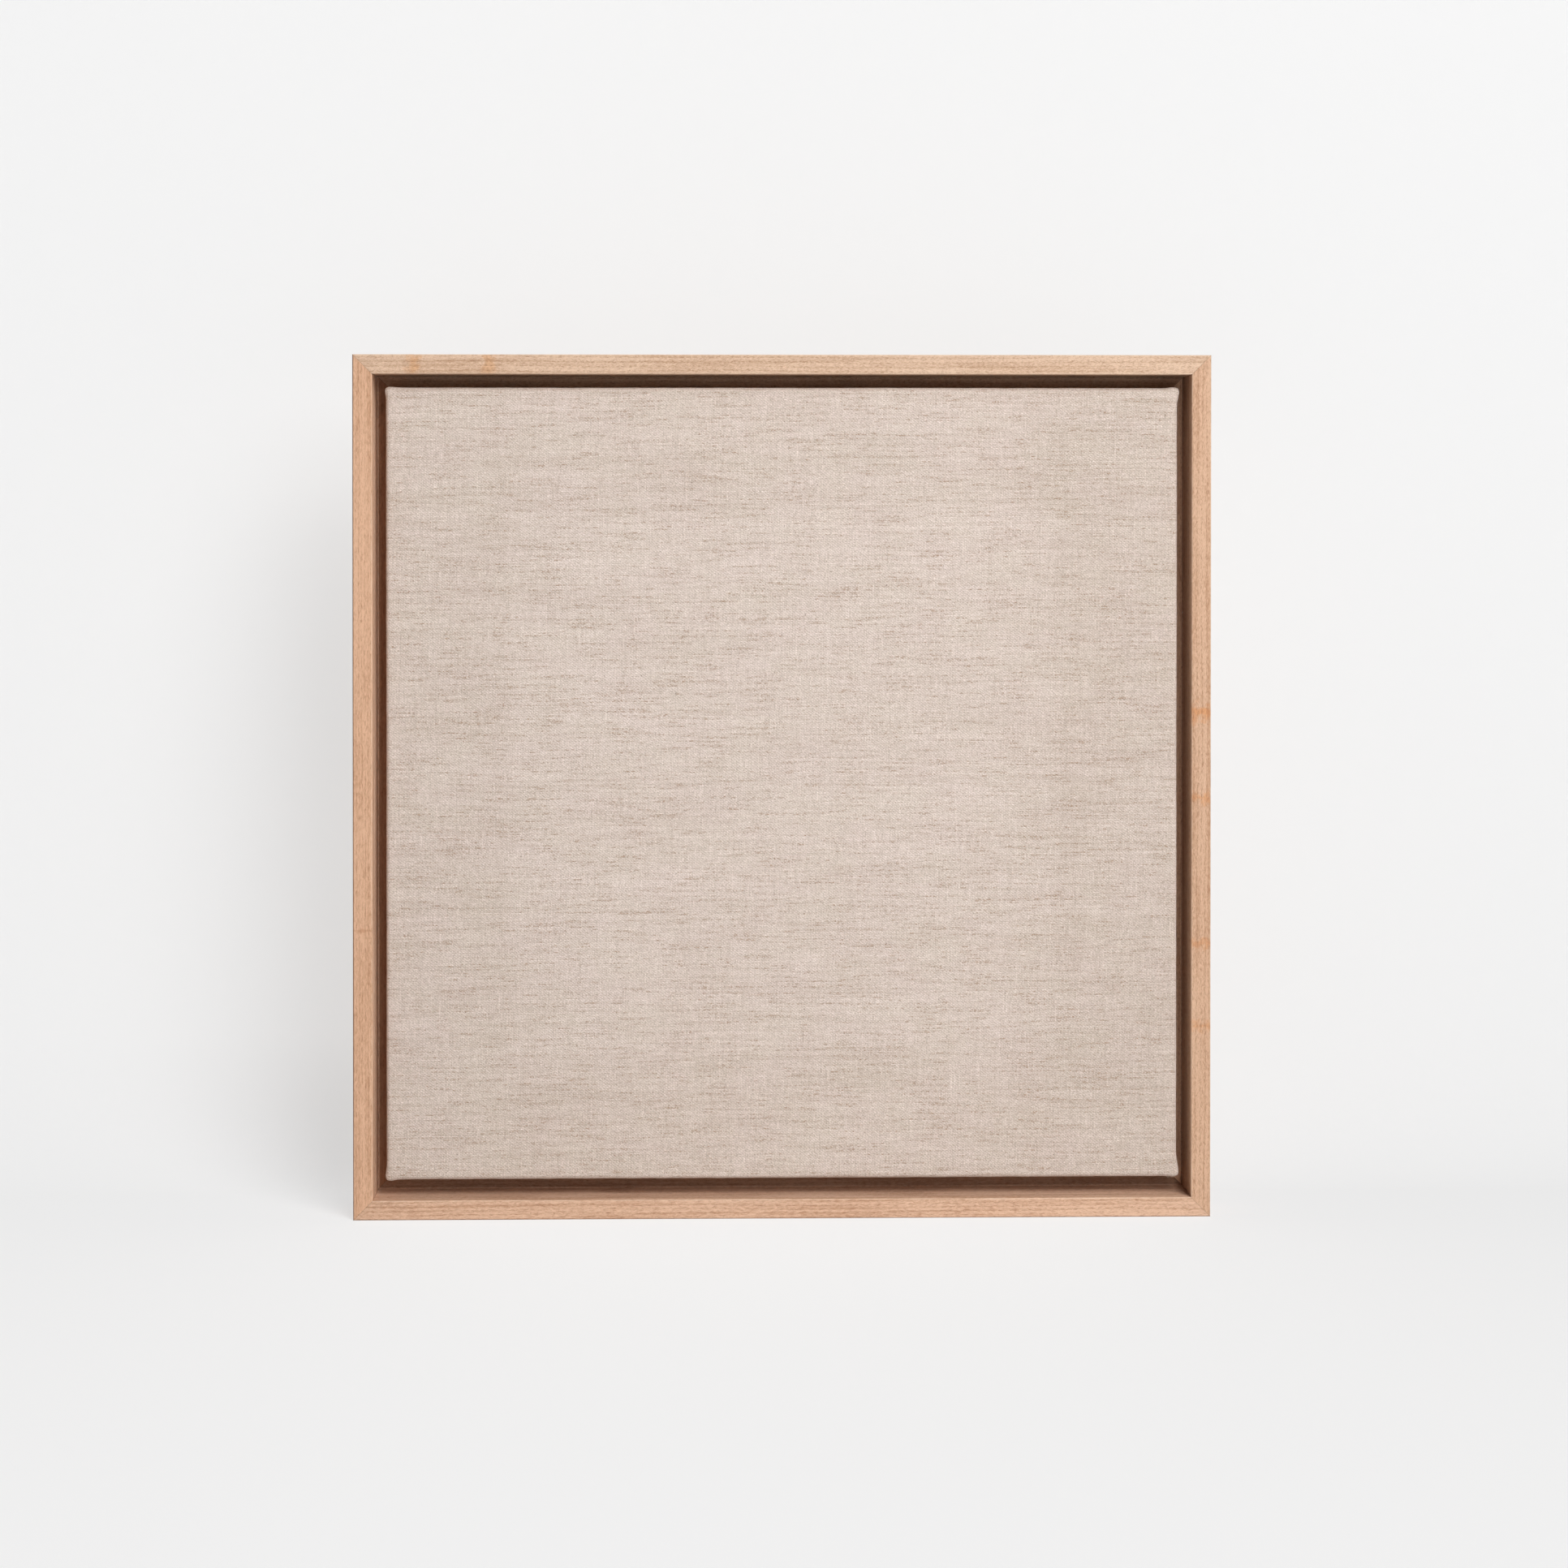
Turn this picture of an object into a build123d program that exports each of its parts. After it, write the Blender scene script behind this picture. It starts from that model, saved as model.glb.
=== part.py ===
"""A square linen canvas on a keyed stretcher, screwed into a floater frame.

X runs to the viewer's right, Y runs away from the viewer and Z is up. The frame stands on its
bottom edge, and the origin is under the middle of the whole object, on the surface it stands on.
"""

import math
import os

from build123d import *

# Floater frame: four mitred rails with an L-shaped section
FRAME_WIDTH = 433.0
FRAME_HEIGHT = 436.0
FRAME_DEPTH = 33.0
FACE_WIDTH = 9.8
RECESS_DEPTH = 25.0
LEDGE_REACH = 31.8
ARRIS_RADIUS = 0.5

# Stretched canvas: four bars behind one wrapped sheet
STRETCHER_SIDE = 400.0
LINEN_THICKNESS = 0.5
FLAP_WIDTH = 30.0
BOTTOM_GAP = 8.9

# Stretcher bar section: a bead along the outer edge, then a slope down to the inner edge
BAR_WIDTH = 40.0
BAR_DEPTH = 18.0
BAR_INNER_DEPTH = 14.6
BEAD_WIDTH = 5.0
BEAD_RADIUS = 2.0
SLOPE_RADIUS = 1.2

# Slip joints at the stretcher's corners: the two middle layers hold a tongue and a slot
BACK_LAYER = 5.0
TONGUE_THICKNESS = 3.6
SLOT_END_AT_EDGE = 2.4
SLOT_END_AT_MOUTH = 8.0

# Corner keys: wedges that sit in the slots beside the tongues
KEY_THICKNESS = 3.2
KEY_TIP = 10.0
KEY_BUTT = 53.0
KEY_CLEARANCE = 0.15

# Countersunk screws through the ledge into the bars
FIXING_SCREW_INSET = 25.6
FIXING_SCREW_SPACING = 240.0
FIXING_SCREW_LENGTH = 20.0
FIXING_SHANK_RADIUS = 1.75
FIXING_HEAD_RADIUS = 3.5
FIXING_HEAD_RIM = 0.3
FIXING_HEAD_SINK = 0.1
LEDGE_HOLE_RADIUS = 2.0
SCREW_POINT = 3.0

# Driver recess of every screw: its slot's width, and its arm and depth as shares of the head's radius
CROSS_WIDTH = 0.8
CROSS_ARM = 1.3
CROSS_DEPTH = 0.45

# Staples through the linen into the backs of the bars
STAPLES_PER_SIDE = 11
STAPLE_PITCH = 32.0
STAPLE_INSET = 21.0
STAPLE_CROWN = 10.0
STAPLE_WIRE = 0.7
STAPLE_WIDTH = 1.2
STAPLE_LEG = 5.0

# V-nails across the backs of the frame's mitres
V_NAIL_PLACES = (9.0, 21.0)
V_NAIL_RISE = 3.0
V_NAIL_HALF_WIDTH = 4.0
V_NAIL_THICKNESS = 0.9
V_NAIL_LENGTH = 6.5
V_NAIL_SINK = 0.3

# Ring hangers on the backs of the side rails
HANGER_HEIGHT = 305.0
RING_PIVOT_INSET = 27.5
RING_WIRE_RADIUS = 1.1
RING_HALF_LENGTH = 8.0
RING_CORNER_RADIUS = 2.0
RING_STRAIGHT = 4.0
STRAP_THICKNESS = 0.8
STRAP_WIDTH = 10.0
LOOP_CLEARANCE = 0.08
HANGER_SCREW_INSET = 9.0
HANGER_SHANK_RADIUS = 1.4
HANGER_HEAD_RADIUS = 2.8
HANGER_HEAD_HEIGHT = 1.7
HANGER_CROWN_RADIUS = 1.6
HANGER_SHOULDER_HEIGHT = 0.85
HANGER_HOLE_RADIUS = 1.5
HANGER_SCREW_LENGTH = 12.0

# Soft bumpers at the lower back corners
BUMPER_RADIUS = 5.5
BUMPER_HEIGHT = 3.0
BUMPER_ROUND = 1.3
BUMPER_FROM_SIDE = 40.0
BUMPER_FROM_BASE = 14.0

SIDES = ("top", "bottom", "left", "right")
ENDS = (-1, 1)
CORNERS = ((-1, -1), (-1, 1), (1, -1), (1, 1))

# How far a cutting solid runs past the faces that it cuts
PAST = 1.0

# Depths along Y, from the frame's front face to the back of the hangers' loops
LOOP_BORE_RADIUS = RING_WIRE_RADIUS + LOOP_CLEARANCE
LOOP_RADIUS = LOOP_BORE_RADIUS + STRAP_THICKNESS
FRONT = -(FRAME_DEPTH + 2 * LOOP_RADIUS) / 2
BACK = FRONT + FRAME_DEPTH
LEDGE_FRONT = FRONT + RECESS_DEPTH
BAR_BACK = LEDGE_FRONT - LINEN_THICKNESS
BAR_FRONT = BAR_BACK - BAR_DEPTH
LINEN_FRONT = BAR_FRONT - LINEN_THICKNESS
BACK_TONGUE = (BAR_BACK - BACK_LAYER - TONGUE_THICKNESS, BAR_BACK - BACK_LAYER)
FRONT_TONGUE = (BACK_TONGUE[0] - TONGUE_THICKNESS, BACK_TONGUE[0])

FRAME_CENTRE = FRAME_HEIGHT / 2
LINEN_SIDE = STRETCHER_SIDE + 2 * LINEN_THICKNESS
CANVAS_CENTRE = FACE_WIDTH + BOTTOM_GAP + LINEN_SIDE / 2


def prism(points, low, high):
    """A polygon in X and Z, carried along Y from low to high."""
    outline = make_face(Polyline(*points, close=True))
    return Pos(0, high, 0) * extrude(Plane.XZ * outline, amount=high - low)


def turned(points):
    """A solid of revolution about the Y axis, from points of radius and depth."""
    return revolve(make_face(Polyline(*points, close=True)), Axis.Y)


def group(shapes):
    """Separate solids in one node."""
    return Compound(children=[part for shape in shapes for part in shape.solids()])


def side_place(side, width, height, centre):
    """Where a bar built along X, with its outer edge at Z = 0, goes on a rectangle's side."""
    turn = {"bottom": 0, "left": 90, "top": 180, "right": -90}[side]
    reach = height / 2 if side in ("top", "bottom") else width / 2
    return Pos(0, 0, centre) * Rot(0, turn, 0) * Pos(0, 0, -reach)


def frame_place(side):
    """The place of one rail of the floater frame."""
    return side_place(side, FRAME_WIDTH, FRAME_HEIGHT, FRAME_CENTRE)


def stretcher_place(side):
    """The place of one bar of the stretcher."""
    return side_place(side, STRETCHER_SIDE, STRETCHER_SIDE, CANVAS_CENTRE)


def frame_rail(side):
    """One L-section rail with eased arrises and a mitre at each end."""
    length = FRAME_WIDTH if side in ("top", "bottom") else FRAME_HEIGHT
    outline = [
        (FRONT, 0),
        (FRONT, FACE_WIDTH),
        (LEDGE_FRONT, FACE_WIDTH),
        (LEDGE_FRONT, LEDGE_REACH),
        (BACK, LEDGE_REACH),
        (BACK, 0),
    ]
    section = make_face(Polyline(*outline, close=True))
    inner_corner = Vector(LEDGE_FRONT, FACE_WIDTH, 0)
    arrises = [v for v in section.vertices() if (v.center() - inner_corner).length > PAST]
    section = fillet(arrises, ARRIS_RADIUS)
    rail = extrude(Plane.YZ * section, amount=length / 2, both=True)
    half = length / 2
    mitred = [(-half, 0), (half, 0), (half - LEDGE_REACH, LEDGE_REACH), (LEDGE_REACH - half, LEDGE_REACH)]
    return frame_place(side) * (rail & prism(mitred, FRONT - PAST, BACK + PAST))


def stretcher_bar(side):
    """One beaded bar, mitred front and back, with a tongue and a tapered slot at each end."""
    slot = BACK_TONGUE if side in ("top", "bottom") else FRONT_TONGUE
    half = STRETCHER_SIDE / 2
    outline = [
        (BAR_FRONT, 0),
        (BAR_FRONT, BEAD_WIDTH),
        (BAR_BACK - BAR_INNER_DEPTH, BAR_WIDTH),
        (BAR_BACK, BAR_WIDTH),
        (BAR_BACK, 0),
    ]
    section = make_face(Polyline(*outline, close=True))
    by_depth = section.vertices().sort_by(Axis.X)
    bead = by_depth[:2].sort_by(Axis.Y)
    section = fillet(bead[0], BEAD_RADIUS)
    inner_front = section.vertices().sort_by(Axis.Y)[-2:].sort_by(Axis.X)[0]
    section = fillet(inner_front, SLOPE_RADIUS)
    bar = extrude(Plane.YZ * section, amount=half, both=True)
    for end in ENDS:
        mitre = [(end * half, 0), (end * half, BAR_WIDTH), (end * (half - BAR_WIDTH), BAR_WIDTH)]
        slot_end = [
            (end * half, 0),
            (end * half, BAR_WIDTH),
            (end * (half - BAR_WIDTH - SLOT_END_AT_MOUTH), BAR_WIDTH),
            (end * (half - BAR_WIDTH - SLOT_END_AT_EDGE), 0),
        ]
        bar -= prism(mitre, BAR_FRONT - PAST, FRONT_TONGUE[0])
        bar -= prism(mitre, BACK_TONGUE[1], BAR_BACK + PAST)
        bar -= prism(slot_end, *slot)
    return stretcher_place(side) * bar


def corner_key(side, end):
    """The wedge in the slot at one end of a bar, straight along the tongue and tapered outside."""
    slot = BACK_TONGUE if side in ("top", "bottom") else FRONT_TONGUE
    middle = sum(slot) / 2
    straight = STRETCHER_SIDE / 2 - BAR_WIDTH - KEY_CLEARANCE
    taper = (SLOT_END_AT_MOUTH - SLOT_END_AT_EDGE) / BAR_WIDTH

    def tapered(height):
        return STRETCHER_SIDE / 2 - BAR_WIDTH - SLOT_END_AT_EDGE - taper * height + KEY_CLEARANCE

    outline = [
        (end * straight, KEY_TIP),
        (end * straight, KEY_BUTT),
        (end * tapered(KEY_BUTT), KEY_BUTT),
        (end * tapered(KEY_TIP), KEY_TIP),
    ]
    wedge = prism(outline, middle - KEY_THICKNESS / 2, middle + KEY_THICKNESS / 2)
    return stretcher_place(side) * wedge


def key_name(side, key):
    """A key's name: its corner, and whether it slides across or upright."""
    centre = key.center()
    level = "top" if centre.Z > CANVAS_CENTRE else "bottom"
    hand = "right" if centre.X > 0 else "left"
    slides = "upright" if side in ("top", "bottom") else "across"
    return f"corner_key_{level}_{hand}_{slides}"


def wrapped_block(side_length, front, back, radius):
    """A square block with its front edges rounded, as the linen goes round the bars."""
    middle = (front + back) / 2
    block = Pos(0, middle, CANVAS_CENTRE) * Box(side_length, back - front, side_length)
    front_edges = block.faces().sort_by(Axis.Y)[0].edges()
    return fillet(front_edges, radius)


def linen(screw_places):
    """The cloth: front, four sides, and flaps on the backs of the bars, pierced by the screws."""
    outside = wrapped_block(LINEN_SIDE, LINEN_FRONT, LEDGE_FRONT, BEAD_RADIUS + LINEN_THICKNESS)
    inside = wrapped_block(STRETCHER_SIDE, BAR_FRONT, BAR_BACK, BEAD_RADIUS)
    open_side = STRETCHER_SIDE - 2 * FLAP_WIDTH
    middle = (BAR_BACK + LEDGE_FRONT) / 2
    through = LINEN_THICKNESS + 2 * PAST
    opening = Pos(0, middle, CANVAS_CENTRE) * Box(open_side, through, open_side)
    cloth = outside - inside - opening
    hole = Pos(0, middle, 0) * Rot(90, 0, 0) * Cylinder(LEDGE_HOLE_RADIUS, through)
    for place in screw_places:
        cloth -= place * hole
    return cloth


def fixing_screw_places():
    """Where the countersunk screws go: two along each rail, in from its outer edge."""
    offsets = [end * FIXING_SCREW_SPACING / 2 for end in ENDS]
    return {
        side: [frame_place(side) * Pos(x, 0, FIXING_SCREW_INSET) for x in offsets] for side in SIDES
    }


def head_depth(radius):
    """How far the countersunk cone goes in from its rim before it narrows to a radius."""
    return FIXING_HEAD_RADIUS - radius


def fixing_screw():
    """A countersunk screw with a cross recess, head just below the frame's back."""
    top = BACK - FIXING_HEAD_SINK
    rim = BACK - FIXING_HEAD_RIM
    tip = top - FIXING_SCREW_LENGTH
    body = turned(
        [
            (0, top),
            (FIXING_HEAD_RADIUS, top),
            (FIXING_HEAD_RADIUS, rim),
            (FIXING_SHANK_RADIUS, rim - head_depth(FIXING_SHANK_RADIUS)),
            (FIXING_SHANK_RADIUS, tip + SCREW_POINT),
            (0, tip),
        ]
    )
    return body - cross_recess(top, FIXING_HEAD_RADIUS)


def cross_recess(top, head_radius):
    """The two crossing slots that a driver turns."""
    arm = CROSS_ARM * head_radius
    depth = CROSS_DEPTH * head_radius
    slot = Pos(0, top, 0) * Box(arm, 2 * depth, CROSS_WIDTH)
    return slot + Rot(0, 90, 0) * slot


def ledge_hole():
    """The clearance hole and countersink through the ledge."""
    rim = BACK - FIXING_HEAD_RIM
    return turned(
        [
            (0, BACK + PAST),
            (FIXING_HEAD_RADIUS, BACK + PAST),
            (FIXING_HEAD_RADIUS, rim),
            (LEDGE_HOLE_RADIUS, rim - head_depth(LEDGE_HOLE_RADIUS)),
            (LEDGE_HOLE_RADIUS, LEDGE_FRONT - PAST),
            (0, LEDGE_FRONT - PAST),
        ]
    )


def staple_row(side):
    """A row of wire staples over the linen, along one bar."""
    crown_middle = LEDGE_FRONT + STAPLE_WIRE / 2
    leg_length = STAPLE_LEG + STAPLE_WIRE
    leg_middle = LEDGE_FRONT + STAPLE_WIRE - leg_length / 2
    leg_offset = (STAPLE_CROWN - STAPLE_WIRE) / 2
    staple = Pos(0, crown_middle, 0) * Box(STAPLE_CROWN, STAPLE_WIRE, STAPLE_WIDTH)
    for end in ENDS:
        staple += Pos(end * leg_offset, leg_middle, 0) * Box(STAPLE_WIRE, leg_length, STAPLE_WIDTH)
    first = -(STAPLES_PER_SIDE - 1) / 2
    offsets = [(first + i) * STAPLE_PITCH for i in range(STAPLES_PER_SIDE)]
    return group([stretcher_place(side) * Pos(x, 0, STAPLE_INSET) * staple for x in offsets])


def v_nails(deep, shallow):
    """V-shaped nails straddling each mitre, between two depths along Y."""
    nails = []
    for across, up in CORNERS:
        corner_z = FRAME_CENTRE + up * FRAME_CENTRE
        inward = Vector(-across, -up) / math.sqrt(2)
        sideways = Vector(up, -across) / math.sqrt(2)
        for place in V_NAIL_PLACES:
            apex = Vector(across * (FRAME_WIDTH / 2 - place), corner_z - up * place)
            chevron = [
                (0, 0),
                (V_NAIL_RISE, V_NAIL_HALF_WIDTH),
                (V_NAIL_RISE + V_NAIL_THICKNESS, V_NAIL_HALF_WIDTH),
                (V_NAIL_THICKNESS, 0),
                (V_NAIL_RISE + V_NAIL_THICKNESS, -V_NAIL_HALF_WIDTH),
                (V_NAIL_RISE, -V_NAIL_HALF_WIDTH),
            ]
            points = [apex + inward * a + sideways * b for a, b in chevron]
            nails.append(prism([(p.X, p.Y) for p in points], deep, shallow))
    return nails


def hanger_ring():
    """The left hanger's D-shaped wire, lying flat with its curve towards the frame's middle."""
    half, corner = RING_HALF_LENGTH, RING_CORNER_RADIUS
    straight = Line((0, 0), (0, half - corner))
    bend = RadiusArc((0, half - corner), (corner, half), corner)
    shoulder = Line((corner, half), (RING_STRAIGHT, half))
    bow = RadiusArc((RING_STRAIGHT, half), (RING_STRAIGHT + half, 0), half)
    path = Plane.XZ * Wire([straight.edge(), bend.edge(), shoulder.edge(), bow.edge()])
    wire_end = Plane(origin=(0, 0, 0), z_dir=(0, 0, 1)) * Circle(RING_WIRE_RADIUS)
    upper = sweep(wire_end, path=path)
    ring = upper + mirror(upper, Plane.XY)
    return Pos(RING_PIVOT_INSET - FRAME_WIDTH / 2, BACK + LOOP_RADIUS, HANGER_HEIGHT) * ring


def hanger_strap():
    """The left hanger's strap: two leaves folded round the ring's straight side."""
    loop = Pos(RING_PIVOT_INSET, LOOP_RADIUS) * Circle(LOOP_RADIUS)
    reach = RING_PIVOT_INSET - HANGER_SCREW_INSET + STRAP_WIDTH / 2
    leaves = Pos(RING_PIVOT_INSET - reach / 2, STRAP_THICKNESS) * Rectangle(reach, 2 * STRAP_THICKNESS)
    bore = Pos(RING_PIVOT_INSET, LOOP_RADIUS) * Circle(LOOP_BORE_RADIUS)
    section = loop + leaves - bore
    strap = extrude(section, amount=STRAP_WIDTH / 2, both=True)
    middle = (HANGER_SCREW_INSET + RING_PIVOT_INSET + LOOP_RADIUS) / 2
    length = RING_PIVOT_INSET + LOOP_RADIUS - HANGER_SCREW_INSET
    plan = Pos(middle, 0) * Rectangle(length, STRAP_WIDTH)
    plan += Pos(HANGER_SCREW_INSET, 0) * Circle(STRAP_WIDTH / 2)
    through = 2 * LOOP_RADIUS + PAST
    strap &= extrude(Plane.XZ * plan, amount=through, both=True)
    hole = Pos(HANGER_SCREW_INSET, 0, 0) * Rot(90, 0, 0) * Cylinder(HANGER_HOLE_RADIUS, 2 * through)
    return Pos(-FRAME_WIDTH / 2, BACK, HANGER_HEIGHT) * (strap - hole)


def hanger_screw():
    """The left hanger's pan-head screw."""
    seat = BACK + 2 * STRAP_THICKNESS
    top = seat + HANGER_HEAD_HEIGHT
    shoulder = seat + HANGER_SHOULDER_HEIGHT
    tip = seat - HANGER_SCREW_LENGTH
    body = turned(
        [
            (0, top),
            (HANGER_CROWN_RADIUS, top),
            (HANGER_HEAD_RADIUS, shoulder),
            (HANGER_HEAD_RADIUS, seat),
            (HANGER_SHANK_RADIUS, seat),
            (HANGER_SHANK_RADIUS, tip + SCREW_POINT),
            (0, tip),
        ]
    )
    screw = body - cross_recess(top, HANGER_CROWN_RADIUS)
    return Pos(HANGER_SCREW_INSET - FRAME_WIDTH / 2, 0, HANGER_HEIGHT) * screw


def wall_bumper():
    """The left bumper, a soft button with a rounded rim."""
    button = Rot(-90, 0, 0) * Cylinder(BUMPER_RADIUS, BUMPER_HEIGHT)
    button = fillet(button.edges().sort_by(Axis.Y)[-1], BUMPER_ROUND)
    across = BUMPER_FROM_SIDE - FRAME_WIDTH / 2
    return Pos(across, BACK + BUMPER_HEIGHT / 2, BUMPER_FROM_BASE) * button


def build():
    """Every piece of the object, by name."""
    nodes = {}
    screw_places = fixing_screw_places()
    screws = {side: [place * fixing_screw() for place in screw_places[side]] for side in SIDES}
    nail_pockets = v_nails(BACK - V_NAIL_SINK - V_NAIL_LENGTH, BACK + PAST)
    hanger_screws = [hanger_screw(), mirror(hanger_screw(), Plane.YZ)]

    for side in SIDES:
        rail = frame_rail(side)
        for place in screw_places[side]:
            rail -= place * ledge_hole()
        for pocket in nail_pockets:
            rail -= pocket
        for screw in hanger_screws:
            rail -= screw
        nodes[f"frame_rail_{side}"] = rail

        bar = stretcher_bar(side)
        for screw in screws[side]:
            bar -= screw
        nodes[f"stretcher_bar_{side}"] = bar
        nodes[f"staples_{side}"] = staple_row(side)

        for end in ENDS:
            key = corner_key(side, end)
            nodes[key_name(side, key)] = key

    nodes["canvas_fixing_screws"] = group([screw for side in SIDES for screw in screws[side]])
    nodes["frame_v_nails"] = group(v_nails(BACK - V_NAIL_SINK - V_NAIL_LENGTH, BACK - V_NAIL_SINK))
    nodes["linen_canvas"] = linen([place for side in SIDES for place in screw_places[side]])
    nodes["hanger_screws"] = group(hanger_screws)

    pairs = {"hanger_strap": hanger_strap(), "hanger_ring": hanger_ring(), "wall_bumper": wall_bumper()}
    for name, left in pairs.items():
        nodes[f"{name}_left"] = left
        nodes[f"{name}_right"] = mirror(left, Plane.YZ)
    return nodes


os.makedirs("parts", exist_ok=True)
for node, shape in build().items():
    export_step(shape, f"parts/{node}.step")
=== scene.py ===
"""Looks, light and camera for a square linen canvas on a stretcher, in an oak floater frame.

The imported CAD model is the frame, and gives every place and size. The wooden and metal parts keep
their shape and get their materials here. The linen is built here as one wrapped sheet with rounded
edges, folded corners and frayed cut edges. Lengths are in metres unless a name says mm.
"""

import math
import random

import bmesh
import bpy
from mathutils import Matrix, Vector, noise


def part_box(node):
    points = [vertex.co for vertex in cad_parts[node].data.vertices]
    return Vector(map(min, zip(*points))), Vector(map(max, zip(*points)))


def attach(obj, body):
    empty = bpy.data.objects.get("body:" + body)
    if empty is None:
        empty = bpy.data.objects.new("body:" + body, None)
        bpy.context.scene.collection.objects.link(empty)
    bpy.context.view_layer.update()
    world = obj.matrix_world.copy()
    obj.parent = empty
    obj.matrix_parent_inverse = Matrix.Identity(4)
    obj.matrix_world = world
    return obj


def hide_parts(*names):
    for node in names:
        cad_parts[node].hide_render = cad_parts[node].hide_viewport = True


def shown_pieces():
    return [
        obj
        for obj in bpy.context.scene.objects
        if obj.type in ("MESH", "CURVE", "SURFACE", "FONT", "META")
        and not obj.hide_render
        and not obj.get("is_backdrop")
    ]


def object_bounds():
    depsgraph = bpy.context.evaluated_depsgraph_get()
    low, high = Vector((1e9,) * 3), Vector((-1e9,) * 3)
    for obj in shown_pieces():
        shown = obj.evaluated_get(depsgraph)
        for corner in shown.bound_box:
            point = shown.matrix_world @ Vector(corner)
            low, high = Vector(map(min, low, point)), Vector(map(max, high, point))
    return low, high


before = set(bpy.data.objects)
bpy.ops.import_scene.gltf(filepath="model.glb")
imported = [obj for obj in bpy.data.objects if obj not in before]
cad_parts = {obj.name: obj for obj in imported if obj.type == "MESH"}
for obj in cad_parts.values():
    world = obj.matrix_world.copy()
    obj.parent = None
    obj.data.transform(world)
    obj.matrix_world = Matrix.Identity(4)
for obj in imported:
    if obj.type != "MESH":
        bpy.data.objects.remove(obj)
CAD_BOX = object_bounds()

MM = 0.001
ROOT = "framed_canvas"
SIDES = ("top", "bottom", "left", "right")

# Camera: in front of the frame, above its middle and almost level, shifted down to take it all in
CAMERA_DISTANCE = 1.360
CAMERA_ASIDE = -0.0447
CAMERA_HEIGHT = 0.3525
CAMERA_TURN = math.radians(-1.068)
CAMERA_TILT = math.radians(-0.436)
CAMERA_LENS = 61.99
CAMERA_SHIFT = (0.0251, -0.1550)

# Studio: backlit paper as floor and wall, two soft key lamps at the upper right, and two lamps
# behind that reach only the object's back
WALL_GAP = 0.090
BEND_RADIUS = 0.07
FLOOR_HALF = 6.0
WALL_HALF_WIDTH = 4.0
WALL_HEIGHT = 4.0
WALL_GLOW = 0.604
FLOOR_GLOW = 0.640
GLOW_SLOPE = 0.060
BEND_CATCH = 0.105
PAPER_WHITE = 0.300
KEY_LAMPS = (
    ("key_low", (0.48, -1.0, 0.61), 3.6, 2.2, 59.5),
    ("key_high", (0.45, -0.8, 1.0), 3.6, 1.9, 65.0),
)
BACK_LAMPS = (
    ("back_key", (-0.75, 1.0, 0.85), 2.4, 0.9, 42.0),
    ("back_fill", (0.9, 1.0, 0.25), 2.4, 2.0, 12.0),
)
WORLD_LIGHT = 0.08
WORLD_SEEN = 0.87

# Linen: thread spacing of the weave, and the shape of the wrapped sheet
WARP_PITCH = 0.86
WEFT_PITCH = 0.67
LINEN_THICKNESS = 0.5 * MM
FLAP_WIDTH = 30 * MM
FRONT_EDGE_RADIUS = 2.5 * MM
BACK_EDGE_RADIUS = 0.9 * MM
LATTICE_STEP = 3.4 * MM
EDGE_LINES_MM = (0, 0.35, 0.7, 1.1, 1.5, 2.0, 2.6, 3.3, 4.2, 5.4, 7.0, 9.0, 11.5)
DEPTH_LINES_MM = (0, 0.4, 0.8, 1.25, 1.8, 2.5, 4.0, 6.0, 8.0, 10.5, 13.0, 15.5, 17.4, 18.1, 18.6)
LEDGE_COVER = 15.8 * MM

# Folded corners on the back: a grid from the outer corner inwards, and how far it runs along the side
FOLD_ROWS = 22
FOLD_COLUMNS = 16
FOLD_START_SHARE = 0.30
FOLD_REACH = 24 * MM

# Frayed fibres along the cut edges, and the few at the front's lower right corner
FRAY_GAP_MM = (0.7, 1.5)
FRAY_LENGTH_MM = (0.8, 2.6)
FRAY_RADIUS_MM = (0.10, 0.19)
FRAY_ROOT = 0.8 * MM
LONG_FRAY_CHANCE = 0.05
LONG_FRAY_FACTOR = 2.6
CORNER_FIBRES = 6
CORNER_FIBRE_LENGTH_MM = (1.4, 3.2)
CORNER_FIBRE_RADIUS = 0.11 * MM

random.seed(11)


# ---------------------------------------------------------------- node trees


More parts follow.
